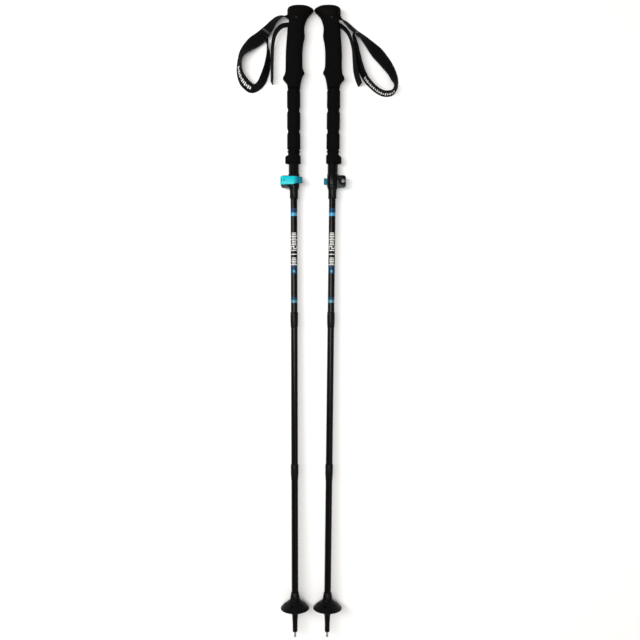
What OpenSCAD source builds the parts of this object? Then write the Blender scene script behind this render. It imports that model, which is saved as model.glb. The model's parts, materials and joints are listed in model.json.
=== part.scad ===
// A pair of folding trekking poles lying side by side on a flat surface.
// Each pole is made along its own +Z, tip at 0, with its nose along +X and its clamp lever at -Y.
// The right pole is the same pole turned half a turn about its own axis.

/* [Pole] */
// Length of a pole from its tip to the top of its grip
pole_l = 1255; // [1250:1:1260]
// Outer diameter of the two upper shaft sections
shaft_d = 13.4; // [13.2:0.1:13.6]
// Outer diameter of the lowest shaft section
lower_shaft_d = 13.2; // [13.0:0.1:13.4]
// Outer diameter of the tube inside the grip
grip_tube_d = 18; // [17.9:0.1:18.2]
// Wall of the shaft tubes
tube_wall = 1; // [0.9:0.1:1.1]

/* [Stations along the pole] */
// Distance from the tip to the lower fold joint
lower_joint = 341.5; // [335:0.5:350]
// Distance from the tip to the upper fold joint
upper_joint = 643.5; // [638:0.5:650]
// Distance from the tip to the bottom of the length clamp
clamp_base = 868.5; // [867:0.5:870]
// Distance from the tip to the bottom of the hand grip
grip_base = 1088.5; // [1087:0.5:1089]

/* [Tip and basket] */
// Diameter of the basket
basket_d = 56.5; // [50:0.5:60]
// Distance from the tip to the rim of the basket
rim_at = 57.5; // [57:0.5:58]
// Diameter of the carbide tip
carbide_d = 4.8; // [4.4:0.1:5.2]

/* [Placing] */
// Distance of the left pole to the left of the origin, half way along it
left_x = 46; // [45.9:0.1:60]
// Distance of the right pole to the right of the origin, half way along it
right_x = 26.9; // [26.8:0.1:40]
// Lean of the left pole, which takes its grip to the left
left_lean = 0.18; // [0.17:0.01:0.5]
// Lean of the right pole, which takes its grip to the right
right_lean = 0.7; // [0.69:0.01:1]

/* [Wrist straps] */
// Thickness of the padded band
band_t = 2.4; // [2:0.1:3]
// Thickness of the loose webbing tail
tail_t = 2; // [1.4:0.1:2.2]
// Gap between the bands and the surface below
strap_lift = 0.6; // [0.4:0.1:1]

/* [Hidden] */

$fn = 96;
eps = 0.01;
fit = 0.05;

// Shaft radii
shaft_r = shaft_d / 2;
shaft_in = shaft_r - tube_wall;
lower_r = lower_shaft_d / 2;
lower_in = lower_r - tube_wall;
grip_tube_r = grip_tube_d / 2;
grip_tube_in = grip_tube_r - 0.8;

// The grip flare and the basket rim carry the pole, so its axis falls slightly towards the grip
flare_at = grip_base + 20.5;
flare_half = 17.5;
basket_r = basket_d / 2;
tilt = asin((basket_r - flare_half) / (flare_at - rim_at));
axis_z = basket_r - sin(tilt) * (pole_l / 2 - rim_at);

// Grip tube and foam
foam_r = 13.1;
foam_neck_r = 11.2;
foam_base = clamp_base + 71;
strap_recess = 16;
neck_top = foam_base + 29.5;
ridge_at = foam_base + 23.5;
groove_w = 12;
groove_depth = 1.7;
groove_r = (groove_w * groove_w / 4 + groove_depth * groove_depth) / (2 * groove_depth);
grip_tube_base = clamp_base + 53;
grip_tube_top = grip_base + 110;

// Hand grip sections: height above the grip's base, back, front, half width, widest point
grip_sections = [
    [0, -11.8, 13, 12.8, 0], [4, -12.2, 13.4, 13.6, 0], [9, -13.4, 14, 15.2, 0],
    [13, -15.6, 14.9, 16.4, 0], [17, -19, 15.7, 17.2, 0], [20.5, -21.4, 16.5, 17.5, 0],
    [24, -20.2, 17.5, 17.4, 0], [28, -18, 19.4, 17, 0], [31.5, -17, 21.8, 16.5, 0],
    [35, -16.4, 20.6, 16, 0], [42, -16, 18.4, 15.3, 0], [54, -15.8, 17.8, 14.5, 0],
    [64, -15.7, 17.8, 14.3, 0], [78, -15.3, 18.2, 14.3, 0], [90, -14.4, 19.6, 14.6, 0],
    [100, -13.6, 21.8, 14.9, 0], [107, -13, 22.6, 15, 0], [116, -12.2, 21.8, 15, 0],
    [124, -11.8, 22, 15.2, 0], [131, -11.7, 23.6, 15.3, 0], [136, -11.7, 25.4, 15.5, 0],
    [141.8, -11.8, 27.8, 15.8, 0]
];
cap_sections = [
    [142.2, -11.9, 28, 16, 0], [146, -12, 31.2, 16.2, 1], [150, -12.1, 34.8, 16.3, 2],
    [153.5, -12.2, 38.4, 16.4, 3], [156.6, -12.2, 40.6, 16.2, 4],
    [159.2, -11.8, 39.3, 15.4, 5], [161.8, -10.2, 36, 13.6, 7], [164.2, -6.2, 31.4, 10.8, 10],
    [165.6, -1, 26.4, 7.6, 12], [166.5, 5.4, 20.4, 3.6, 12.6]
];
ring_sides = 40;
ring_power = 0.88;

// Strap slot in the back of the grip, its wedge and its pin
slot_low = grip_base + 125;
slot_high = grip_base + 148;
slot_half = 10.8;
slot_floor = -3;
wedge_low = grip_base + 126.5;
wedge_high = grip_base + 141;
pin_at = grip_base + 137.5;
pin_x = 6;
pin_r = 2;

// Length clamp
sleeve_r = 8.3;
housing_r = 11;
upper_sleeve_r = 10.2;
slit_half = 2.2;
lever_x = -21;
lever_y = -9.6;
lever_mid = clamp_base + 35;
barrel_r = 5.6;
pivot_r = 2.6;
screw_r = 1.5;
lever_in = 11.6;
lever_out = 15.2;
ear_r = 4.5;
ear_half = 11.5;

// Snap button
button_at = clamp_base - 0.5;
button_r = 1.9;

// Fold joints
collar_r = 7.65;
collar_bore = 5.6;
collar_l = 31;
collar_straight = 18;
nose_l = 13;
spigot_plug = 28;
cable_r = 1.25;
cable_bore = 1.45;
nose_centre = 25.7;
nose_gap = 0.15;

// Cable ends: short of each joint inside the spigot, and below the nose on the other side
cable_end = 6;
cable_start = 13.4;
anchor_at = upper_joint + 160;

// Straps, as [x, y, lean in degrees, width, how far it has risen towards the slot from the surface]
left_loop = [
    [-58.5, 606, 0, 20, 1], [-64, 606.4, 8, 20, 1], [-71, 606.8, 20, 20, 0.95],
    [-80, 603.5, 32, 20.5, 0.8], [-89, 596, 46, 21.5, 0.55], [-98.5, 585, 62, 24, 0.3],
    [-113.4, 570.5, 75, 27, 0.08], [-129.5, 558.5, 76, 28, 0], [-146, 542, 50, 26, 0],
    [-154, 527.5, 30, 24, 0], [-157, 510, 27, 24, 0], [-155.5, 495, 32, 24, 0],
    [-150, 482, 44, 24, 0], [-143, 473, 44, 24, 0], [-134, 466, 38, 24, 0],
    [-124.5, 465, 18, 24, 0], [-116, 471, 20, 24, 0], [-109.5, 481, 26, 24, 0],
    [-105, 493, 26, 24, 0], [-101.5, 504, 24, 24, 0], [-99.3, 517, 19, 23, 0],
    [-98.2, 530, 13, 22, 0], [-98.6, 543, 8, 21, 0], [-101, 555, 3, 20, 0]
];
left_tail = [
    [-58.5, 590, 0, 20, 1], [-64, 589.2, 0, 20, 1], [-71, 587.4, -2, 20, 1],
    [-78.5, 581.5, -5, 20, 0.9], [-84.5, 572, -8, 20, 0.8], [-88, 560, -10, 20, 0.6],
    [-90, 544, -10, 20, 0.35], [-90.8, 523, -10, 20, 0.1], [-91, 504, -9, 20, 0],
    [-91, 490, -8, 20, 0], [-91.5, 475, -6, 20, 0]
];
right_loop = [
    [44.7, 604.5, 0, 20, 1], [49.5, 601, -10, 20, 1], [56, 595.5, -24, 20, 0.95],
    [65.5, 586.5, -34, 20.5, 0.8], [75, 578.5, -36, 22, 0.55], [90.1, 567.5, -40, 24, 0.2],
    [105, 553.5, -58, 25, 0.03], [120.5, 537.5, -75, 27, 0], [132, 524, -75, 26, 0],
    [141.3, 511, -68, 25, 0], [149.8, 496, -55, 24, 0], [154.5, 482.5, -42, 24, 0],
    [157, 468.5, -18, 24, 0], [151.5, 457, -10, 24, 0], [140.5, 453.4, -10, 24, 0],
    [128.5, 455.3, -9, 24, 0], [114.7, 464.3, -4, 24, 0], [100, 479.8, -4, 24, 0],
    [92, 493.5, -8, 24, 0], [86, 509, -13, 24, 0], [81.8, 530, -15, 22, 0],
    [78.8, 548, -12, 20, 0], [74.5, 562, -6, 20, 0.05]
];
right_tail = [
    [44.7, 589, 0, 20, 1], [49.5, 586.2, 0, 20, 1], [56.5, 579.8, 1, 20, 1],
    [63, 570.5, 3, 20, 0.85], [68.2, 558, 6, 20, 0.6], [71.8, 543, 9, 20, 0.35],
    [74.3, 522, 10, 20, 0.1], [76.8, 502, 10, 20, 0], [80.6, 486, 8, 20, 0], [85.7, 472, 6, 20, 0]
];
slot_z = axis_z - sin(tilt) * ((slot_low + slot_high) / 2 - pole_l / 2);

// ---- Shared shapes ----

function lofted_ring(p) = [
    for (i = [0 : ring_sides - 1])
        let (c = cos(360 * i / ring_sides), q = sin(360 * i / ring_sides))
        [
            p[4] + (c >= 0 ? (p[2] - p[4]) * pow(c, ring_power) : (p[1] - p[4]) * pow(-c, ring_power)),
            p[3] * sign(q) * pow(abs(q), ring_power),
            p[0]
        ]
];

// A closed skin through a stack of egg-shaped sections
module loft(sections) {
    n = ring_sides;
    last = (len(sections) - 1) * n;
    polyhedron(
        points = [for (p = sections) each lofted_ring(p)],
        faces = concat(
            [[for (i = [0 : n - 1]) i]],
            [
                for (k = [0 : len(sections) - 2], i = [0 : n - 1])
                    each [
                        [k * n + i, (k + 1) * n + i, (k + 1) * n + (i + 1) % n],
                        [k * n + i, (k + 1) * n + (i + 1) % n, k * n + (i + 1) % n]
                    ]
            ],
            [[for (i = [n - 1 : -1 : 0]) last + i]]
        )
    );
}

function unit(v) = v / norm(v);
function heading(route, i) = unit([
    route[min(i + 1, len(route) - 1)][0] - route[max(i - 1, 0)][0],
    route[min(i + 1, len(route) - 1)][1] - route[max(i - 1, 0)][1],
    0
]);
function lying_z(p, t) = strap_lift + p[3] / 2 * cos(p[2]) + t / 2 * abs(sin(p[2]));
function strap_corners(route, i, t) =
    let (
        p = route[i],
        h = heading(route, i),
        side = [-h[1], h[0], 0],
        across = cos(p[2]) * [0, 0, 1] + sin(p[2]) * side,
        through = cos(p[2]) * side - sin(p[2]) * [0, 0, 1],
        centre = [p[0], p[1], lying_z(p, t) * (1 - p[4]) + slot_z * p[4]]
    )
    [
        centre - across * p[3] / 2 - through * t / 2,
        centre + across * p[3] / 2 - through * t / 2,
        centre + across * p[3] / 2 + through * t / 2,
        centre - across * p[3] / 2 + through * t / 2
    ];

// A flat strap of thickness t along a route, leaning as the route says
module strap(route, t) {
    last = (len(route) - 1) * 4;
    polyhedron(
        points = [for (i = [0 : len(route) - 1]) each strap_corners(route, i, t)],
        faces = concat(
            [[0, 1, 2], [0, 2, 3]],
            [
                for (k = [0 : len(route) - 2], i = [0 : 3])
                    each [
                        [k * 4 + i, (k + 1) * 4 + i, (k + 1) * 4 + (i + 1) % 4],
                        [k * 4 + i, (k + 1) * 4 + (i + 1) % 4, k * 4 + (i + 1) % 4]
                    ]
            ],
            [[last + 2, last + 1, last], [last + 3, last + 2, last]]
        )
    );
}

module tube(from, to, outer, inner) {
    translate([0, 0, from])
        difference() {
            cylinder(r = outer, h = to - from);
            translate([0, 0, -1]) cylinder(r = inner, h = to - from + 2);
        }
}

module left() {
    translate([-left_x, 0, axis_z])
        rotate([0, 0, left_lean])
            rotate([-(90 + tilt), 0, 0])
                translate([0, 0, -pole_l / 2]) children();
}

module right() {
    translate([right_x, 0, axis_z])
        rotate([0, 0, -right_lean])
            rotate([-(90 + tilt), 0, 0])
                translate([0, 0, -pole_l / 2])
                    rotate([0, 0, 180]) children();
}

// ---- Grip ----

module strap_slot() {
    translate([-20, -slot_half, slot_low]) cube([20 + slot_floor, 2 * slot_half, slot_high - slot_low]);
}

module top_cap() {
    color("#26262a")
        difference() {
            translate([0, 0, grip_base]) loft(cap_sections);
            strap_slot();
        }
}

module hand_grip() {
    color("#19191b")
        difference() {
            translate([0, 0, grip_base]) loft(grip_sections);
            translate([0, 0, grip_base - 1]) cylinder(r = grip_tube_r + 0.1, h = grip_tube_top - grip_base + 1.5);
            strap_slot();
            translate([slot_floor - eps, -9.6, wedge_low - 0.5]) cube([14, 19.2, wedge_high - wedge_low + 0.8]);
            translate([pin_x, 0, pin_at]) rotate([90, 0, 0]) cylinder(r = pin_r + fit, h = 40, center = true);
        }
}

module grip_extension() {
    color("#202022")
        rotate_extrude()
            difference() {
                translate([grip_tube_r + fit, foam_base])
                    square([foam_r - grip_tube_r - fit, grip_base - foam_base - 0.2]);
                difference() {
                    translate([foam_neck_r, foam_base - 1]) square([5, neck_top - foam_base + 1]);
                    translate([foam_neck_r - 1, ridge_at]) circle(r = 2.6, $fn = 32);
                }
                for (groove = [64, 106.5, 150])
                    translate([foam_r + groove_r - groove_depth, foam_base + groove]) circle(r = groove_r);
            }
}

module storage_strap() {
    color("#2b2b2e")
        translate([0, 0, foam_base + 0.2])
            linear_extrude(strap_recess - 0.4)
                difference() {
                    union() {
                        circle(r = foam_r + 0.6);
                        translate([-14.2, 0]) square([4.4, 13], center = true);
                        translate([-16.4, -1]) square([3, 8], center = true);
                    }
                    circle(r = 11.3);
                }
}

module strap_wedge() {
    color("#35353a")
        translate([0, 9, 0])
            rotate([90, 0, 0])
                linear_extrude(18)
                    difference() {
                        polygon([
                            [slot_floor + 0.4, wedge_low], [10.6, wedge_low + 2],
                            [10.6, wedge_high - 0.6], [slot_floor + 0.4, wedge_high]
                        ]);
                        translate([pin_x, pin_at]) circle(r = pin_r + fit);
                    }
}

module strap_pin() {
    color("silver")
        translate([pin_x, 0, pin_at]) rotate([90, 0, 0]) cylinder(r = pin_r, h = 30.6, center = true);
}

module grip_tube() {
    color("#3a3a3e") tube(grip_tube_base, grip_tube_top, grip_tube_r, grip_tube_in);
}

// ---- Wrist straps, laid on the surface beside the grips ----

module wrist_strap(route) {
    color("#242426") strap(route, band_t);
}

module strap_tail(route) {
    color("#1b1b1d") strap(route, tail_t);
}

// ---- Length clamp ----

// One ear of the clamp: a plate with two rounded corners
module clamp_ear(from, thick) {
    translate([0, from, 0]) {
        for (corner = [ear_r - ear_half, ear_half - ear_r])
            translate([lever_x - 0.6, 0, lever_mid + corner]) rotate([-90, 0, 0]) cylinder(r = ear_r, h = thick);
        translate([lever_x - 0.6 - ear_r, 0, lever_mid + ear_r - ear_half])
            cube([ear_r + eps, thick, 2 * (ear_half - ear_r)]);
        translate([lever_x - 0.6, 0, lever_mid - ear_half]) cube([-lever_x - 8.4, thick, 2 * ear_half]);
    }
}

module clamp_housing() {
    color("#17171a")
        difference() {
            union() {
                rotate_extrude()
                    polygon([
                        [0, clamp_base], [sleeve_r - 0.5, clamp_base], [sleeve_r, clamp_base + 1],
                        [sleeve_r, clamp_base + 16.5], [housing_r, clamp_base + 24.8],
                        [housing_r, clamp_base + 26.6], [housing_r - 0.5, clamp_base + 27.2],
                        [housing_r, clamp_base + 27.8], [housing_r, clamp_base + 49.6],
                        [housing_r - 0.8, clamp_base + 50.4], [upper_sleeve_r, clamp_base + 51],
                        [upper_sleeve_r, clamp_base + 69], [upper_sleeve_r - 0.7, clamp_base + 69.8],
                        [0, clamp_base + 69.8]
                    ]);
                clamp_ear(-3.8, 3.8);
                clamp_ear(0, 7);
            }
            translate([0, 0, clamp_base - 1]) cylinder(r = shaft_r + fit, h = 60);
            translate([0, 0, grip_tube_base - fit]) cylinder(r = grip_tube_r + 0.03, h = 30);
            translate([lever_x - 10, -slit_half, clamp_base - 1]) cube([-lever_x + 10, 2 * slit_half, 53.9]);
            translate([lever_x, 0, lever_mid])
                rotate([90, 0, 0]) cylinder(r = screw_r + 0.2, h = 40, center = true);
        }
}

// Outline of the lever seen along the pole: barrel, neck, curl round the housing, tab, straight back
module lever_outline() {
    polygon(concat(
        [
            for (a = [-90 : -10 : -330])
                [lever_x + barrel_r * cos(a), lever_y + barrel_r * sin(a)]
        ],
        [[-8, -lever_in]],
        [for (a = [-90 : 4 : -38]) [lever_in * cos(a), lever_in * sin(a)]],
        [[12.4, -7], [16.6, -5.7], [17.5, -6.4], [17.3, -7.4], [13.2, -9.3]],
        [for (a = [-44 : -4 : -90]) [lever_out * cos(a), lever_out * sin(a)]]
    ));
}

module clamp_lever() {
    color("#00aec4")
        difference() {
            translate([0, 0, lever_mid - 7.8]) linear_extrude(15.6) lever_outline();
            translate([lever_x, lever_y, lever_mid - 20]) cylinder(r = pivot_r + fit, h = 40);
            translate([lever_x, lever_y, lever_mid - 2.2])
                linear_extrude(4.4)
                    polygon(concat([[0, 0]], [for (a = [48 : 22 : 246]) [9 * cos(a), 9 * sin(a)]]));
            translate([-4, 0, lever_mid - 9.2])
                rotate([90, 0, 0]) linear_extrude(30) polygon([[0, 0], [26, 0], [26, 4.6], [8, 3.6]]);
        }
}

module clamp_pivot_pin() {
    color("silver")
        difference() {
            translate([lever_x, lever_y, lever_mid - 7.4]) cylinder(r = pivot_r, h = 14.8);
            translate([lever_x, lever_y - 2, lever_mid])
                rotate([-90, 0, 0]) cylinder(r = screw_r + fit, h = 10);
        }
}

module clamp_screw() {
    color("silver")
        difference() {
            translate([lever_x, 0, lever_mid])
                rotate([-90, 0, 0]) {
                    translate([0, 0, lever_y - 1.8]) cylinder(r = screw_r, h = 9 - lever_y);
                    translate([0, 0, 7.1]) cylinder(r = 3.4, h = 2.3);
                }
            translate([lever_x, 8.2, lever_mid]) rotate([-90, 0, 0]) cylinder(r = 1.5, h = 4, $fn = 6);
        }
}

// ---- Upper section ----

module tube_bushing() {
    color("#4a4a50")
        tube(button_at + 130, button_at + 148, grip_tube_in - fit, shaft_r + fit);
}

module upper_tube() {
    color("#151517")
        difference() {
            tube(upper_joint, button_at + 148, shaft_r, shaft_in);
            translate([0, 0, button_at]) rotate([0, -90, 0]) cylinder(r = button_r + 0.1, h = 12);
        }
}

module snap_button() {
    color("#8d8f94")
        translate([0, 0, button_at])
            rotate([0, -90, 0])
                rotate_extrude()
                    polygon([
                        [0, 3.7], [2.8, 3.7], [2.8, 4.6], [button_r, 4.6], [button_r, 7.3],
                        [button_r - 0.6, 7.9], [0, 8]
                    ]);
}

module button_spring() {
    color("silver")
        translate([0, 2.5, button_at])
            rotate([90, 0, 0])
                linear_extrude(5) {
                    translate([-1.8, -12]) square([0.6, 26]);
                    translate([4.2, -12]) square([0.6, 26]);
                    translate([1.5, 14])
                        difference() {
                            circle(r = 3.3);
                            circle(r = 2.7);
                            translate([-5, -10]) square([10, 10]);
                        }
                }
}

module cable_anchor() {
    color("silver")
        difference() {
            translate([0, 0, anchor_at]) cylinder(r = shaft_in - 0.3, h = 14);
            translate([0, 0, anchor_at - 1]) cylinder(r = cable_r + fit, h = 20);
        }
}

module cable(from, to) {
    color("#202024") translate([0, 0, from]) cylinder(r = cable_r, h = to - from);
}

// ---- Fold joints ----

// Radius of the nose at a depth, on an arc that swings out of the collar without touching it
function nose_r(depth) =
    let (reach = nose_centre + collar_bore)
    collar_bore - nose_gap - (reach - sqrt(reach * reach - depth * depth));

// A spigot glued in the tube above a joint, with its nose in the collar below
module spigot(joint) {
    color("#9da0a6")
        difference() {
            translate([0, 0, joint])
                rotate_extrude()
                    polygon(concat(
                        [[0, -nose_l], [nose_r(nose_l), -nose_l]],
                        [for (depth = [nose_l - 1 : -1 : 0]) [nose_r(depth), -depth]],
                        [[shaft_in - fit, 0.2], [shaft_in - fit, spigot_plug], [0, spigot_plug]]
                    ));
            translate([0, 0, joint - nose_l - 1]) cylinder(r = cable_bore, h = nose_l + spigot_plug + 2);
        }
}

// A collar round the top of a tube, flush at the joint and tapered below
module collar(joint, tube_r) {
    color("#101012")
        difference() {
            rotate_extrude()
                polygon([
                    [0, joint - collar_l], [tube_r + 0.35, joint - collar_l],
                    [collar_r, joint - collar_straight], [collar_r, joint - 0.8],
                    [collar_r - 0.6, joint - 0.15], [0, joint - 0.15]
                ]);
            translate([0, 0, joint - nose_l - 1]) cylinder(r = collar_bore, h = nose_l + 2);
            translate([0, 0, joint - collar_l - 1]) cylinder(r = tube_r + fit, h = collar_l - nose_l + 0.5);
        }
}

// ---- Lower sections and tip ----

module mid_tube() {
    color("#151517") tube(lower_joint, upper_joint - nose_l - 0.6, shaft_r, shaft_in);
}

module lower_tube() {
    color("#151517") tube(78, lower_joint - nose_l - 0.6, lower_r, lower_in);
}

// The end of the cable in the lowest section, with the stop that holds it
module lower_cable() {
    cable(104, lower_joint - cable_start);
    color("silver") translate([0, 0, 101]) cylinder(r = lower_in - 0.3, h = 6);
}

module tip_ferrule() {
    color("#1a1a1c")
        difference() {
            union() {
                rotate_extrude()
                    polygon([
                        [0, 11], [4.6, 11], [4.9, 11.4], [4.9, 26], [5.9, 46], [6.1, 46.6],
                        [6.1, 76], [9.5, 76], [9.5, 77.4], [lower_r + 0.9, 88.3], [0, 88.3]
                    ]);
                for (turn = [0 : 5])
                    translate([0, 0, 49 + 4 * turn]) cylinder(r = 6.5, h = 1.6);
            }
            tube(78 - fit, 95, lower_r + fit, lower_in - 0.1);
            translate([0, 0, 10]) cylinder(r = carbide_d / 2 + fit, h = 15);
            for (notch = [0 : 5])
                rotate([0, 0, 60 * notch]) translate([3.2, -0.8, 10]) cube([3, 1.6, 2.4]);
        }
    color("#1a1a1c") translate([0, 0, 88.3 - eps]) cylinder(r = lower_in - 0.1, h = 12);
}

module basket() {
    color("#1d1d20")
        difference() {
            union() {
                rotate_extrude()
                    polygon([
                        [6.55, 45.4], [7, 45.4], [8.8, 48.8], [9.1, 66], [12, 68.8], [24, 60.6],
                        [basket_r - 0.6, rim_at - 1.3], [basket_r, rim_at - 0.8],
                        [basket_r, rim_at + 0.9], [basket_r - 0.8, rim_at + 1.5], [24, 63.2],
                        [17, 68.6], [11, 73.2], [9.7, 75.8], [6.55, 75.8]
                    ]);
                for (rib = [0 : 11])
                    rotate([0, 0, 30 * rib])
                        translate([0, 0.6, 0])
                            rotate([90, 0, 0])
                                linear_extrude(1.2) polygon([[9, 66], [25, 60.4], [25, 59.4], [9, 61.5]]);
            }
            for (hole = [0 : 5])
                rotate([0, 0, 60 * hole + 15]) translate([18.5, 0, 50]) cylinder(r = 2.6, h = 30, $fn = 32);
        }
}

module carbide_tip() {
    color("#c9ccd1")
        rotate_extrude()
            polygon([
                [0, 1], [carbide_d / 2 - 0.7, 0], [carbide_d / 2, 0.8], [carbide_d / 2, 7],
                [carbide_d / 2 - 0.3, 7.6], [carbide_d / 2, 8.2], [carbide_d / 2, 24.8], [0, 24.8]
            ]);
}

left() top_cap();  // left_top_cap
left() hand_grip();  // left_hand_grip
left() grip_extension();  // left_grip_extension
left() storage_strap();  // left_storage_strap
wrist_strap(left_loop);  // left_wrist_strap
strap_tail(left_tail);  // left_strap_tail
left() strap_wedge();  // left_strap_wedge
left() strap_pin();  // left_strap_pin
left() grip_tube();  // left_grip_tube
left() clamp_housing();  // left_clamp_housing
left() clamp_lever();  // left_clamp_lever
left() clamp_pivot_pin();  // left_clamp_pivot_pin
left() clamp_screw();  // left_clamp_screw
left() tube_bushing();  // left_tube_bushing
left() upper_tube();  // left_upper_tube
left() snap_button();  // left_snap_button
left() button_spring();  // left_button_spring
left() cable_anchor();  // left_cable_anchor
left() cable(upper_joint - cable_end, anchor_at + 13.9);  // left_upper_cable
left() spigot(upper_joint);  // left_upper_spigot
left() collar(upper_joint, shaft_r);  // left_mid_collar
left() mid_tube();  // left_mid_tube
left() cable(lower_joint - cable_end, upper_joint - cable_start);  // left_middle_cable
left() spigot(lower_joint);  // left_lower_spigot
left() collar(lower_joint, lower_r);  // left_lower_collar
left() lower_tube();  // left_lower_tube
left() lower_cable();  // left_lower_cable
left() tip_ferrule();  // left_tip_ferrule
left() basket();  // left_basket
left() carbide_tip();  // left_carbide_tip
right() top_cap();  // right_top_cap
right() hand_grip();  // right_hand_grip
right() grip_extension();  // right_grip_extension
right() storage_strap();  // right_storage_strap
wrist_strap(right_loop);  // right_wrist_strap
strap_tail(right_tail);  // right_strap_tail
right() strap_wedge();  // right_strap_wedge
right() strap_pin();  // right_strap_pin
right() grip_tube();  // right_grip_tube
right() clamp_housing();  // right_clamp_housing
right() clamp_lever();  // right_clamp_lever
right() clamp_pivot_pin();  // right_clamp_pivot_pin
right() clamp_screw();  // right_clamp_screw
right() tube_bushing();  // right_tube_bushing
right() upper_tube();  // right_upper_tube
right() snap_button();  // right_snap_button
right() button_spring();  // right_button_spring
right() cable_anchor();  // right_cable_anchor
right() cable(upper_joint - cable_end, anchor_at + 13.9);  // right_upper_cable
right() spigot(upper_joint);  // right_upper_spigot
right() collar(upper_joint, shaft_r);  // right_mid_collar
right() mid_tube();  // right_mid_tube
right() cable(lower_joint - cable_end, upper_joint - cable_start);  // right_middle_cable
right() spigot(lower_joint);  // right_lower_spigot
right() collar(lower_joint, lower_r);  // right_lower_collar
right() lower_tube();  // right_lower_tube
right() lower_cable();  // right_lower_cable
right() tip_ferrule();  // right_tip_ferrule
right() basket();  // right_basket
right() carbide_tip();  // right_carbide_tip
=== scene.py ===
"""The looks of a pair of folding trekking poles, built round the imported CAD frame.

Pieces that belong to one pole are made in that pole's own axes, in millimetres, and then placed:
x points to the grip's nose, y to the side away from the clamp lever,
and s runs from the tip to the grip's top.
The straps follow routes in the row frame, in millimetres.
"""

import json
import math

import bmesh
import bpy
from mathutils import Matrix, Vector


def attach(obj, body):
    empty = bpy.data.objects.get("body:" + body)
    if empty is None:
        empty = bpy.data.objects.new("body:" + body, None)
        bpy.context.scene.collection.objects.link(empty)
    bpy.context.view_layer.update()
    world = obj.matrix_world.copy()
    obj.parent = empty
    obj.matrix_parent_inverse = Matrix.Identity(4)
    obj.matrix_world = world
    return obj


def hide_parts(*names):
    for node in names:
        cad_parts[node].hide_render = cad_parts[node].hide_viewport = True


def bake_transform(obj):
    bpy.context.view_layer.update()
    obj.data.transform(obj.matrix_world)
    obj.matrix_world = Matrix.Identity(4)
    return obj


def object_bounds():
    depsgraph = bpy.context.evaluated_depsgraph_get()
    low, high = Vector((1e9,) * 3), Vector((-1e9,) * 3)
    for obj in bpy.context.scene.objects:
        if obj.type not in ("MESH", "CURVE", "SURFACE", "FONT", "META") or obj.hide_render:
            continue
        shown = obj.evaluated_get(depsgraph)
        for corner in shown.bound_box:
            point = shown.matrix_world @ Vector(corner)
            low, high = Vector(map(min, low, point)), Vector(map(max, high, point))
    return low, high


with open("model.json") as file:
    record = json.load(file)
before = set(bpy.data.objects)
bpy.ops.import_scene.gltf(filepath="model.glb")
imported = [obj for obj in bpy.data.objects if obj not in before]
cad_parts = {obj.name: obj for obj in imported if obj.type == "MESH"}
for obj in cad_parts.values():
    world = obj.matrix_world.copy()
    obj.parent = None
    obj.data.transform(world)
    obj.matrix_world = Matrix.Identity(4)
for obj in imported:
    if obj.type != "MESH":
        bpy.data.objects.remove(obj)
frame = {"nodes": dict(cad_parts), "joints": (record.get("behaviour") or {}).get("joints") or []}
CAD_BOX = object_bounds()
JOINTS = {joint["name"]: joint for joint in frame["joints"]}
MM = 0.001

# ---- Driving dimensions, in mm, as the CAD source has them ----

LOWER_JOINT = 341.5
UPPER_JOINT = 643.5
CLAMP_BASE = 868.5
LEVER_MID = CLAMP_BASE + 35
FOAM_BASE = CLAMP_BASE + 71
GRIP_BASE = 1088.5
FOLD_OFFSET = 11.0
SHAFT_R = 6.7
FOAM_R = 13.1
FOAM_NECK_R = 11.2
GRIP_TUBE_R = 9.0
CABLE_R = 1.25
SLOT_HALF = 10.8
SLOT_FLOOR = -3.0
SLOT_MOUTH = -11.8
SLOT_LOW = GRIP_BASE + 125
SLOT_HIGH = GRIP_BASE + 148
PIN_X = 6.0
PIN_AT = GRIP_BASE + 137.5
LEVER_X = -21.0
LEVER_Y = -9.6
BARREL_R = 5.6
STRAP_LIFT = 0.6

# Grip sections: height above the grip's base, back, front, half width, widest point
GRIP_SECTIONS = [
    (0, -11.8, 13, 12.8, 0), (4, -12.2, 13.4, 13.6, 0), (9, -13.4, 14, 15.2, 0),
    (13, -15.6, 14.9, 16.4, 0), (17, -19, 15.7, 17.2, 0), (20.5, -21.4, 16.5, 17.5, 0),
    (24, -20.2, 17.5, 17.4, 0), (28, -18, 19.4, 17, 0), (31.5, -17, 21.8, 16.5, 0),
    (35, -16.4, 20.6, 16, 0), (42, -16, 18.4, 15.3, 0), (54, -15.8, 17.8, 14.5, 0),
    (64, -15.7, 17.8, 14.3, 0), (78, -15.3, 18.2, 14.3, 0), (90, -14.4, 19.6, 14.6, 0),
    (100, -13.6, 21.8, 14.9, 0), (107, -13, 22.6, 15, 0), (116, -12.2, 21.8, 15, 0),
    (124, -11.8, 22, 15.2, 0), (131, -11.7, 23.6, 15.3, 0), (136, -11.7, 25.4, 15.5, 0),
    (141.8, -11.8, 27.8, 15.8, 0),
]
CAP_SECTIONS = [
    (142.2, -11.9, 28, 16, 0), (146, -12, 31.2, 16.2, 1), (150, -12.1, 34.8, 16.3, 2),
    (153.5, -12.2, 38.4, 16.4, 3), (156.6, -12.2, 40.6, 16.2, 4), (159.2, -11.8, 39.3, 15.4, 5),
    (161.8, -10.2, 36, 13.6, 7), (164.2, -6.2, 31.4, 10.8, 10), (165.6, -1, 26.4, 7.6, 12),
    (166.5, 5.4, 20.4, 3.6, 12.6),
]
# How square the sections are: 1 is an ellipse
RING_POWER = 0.88

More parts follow.
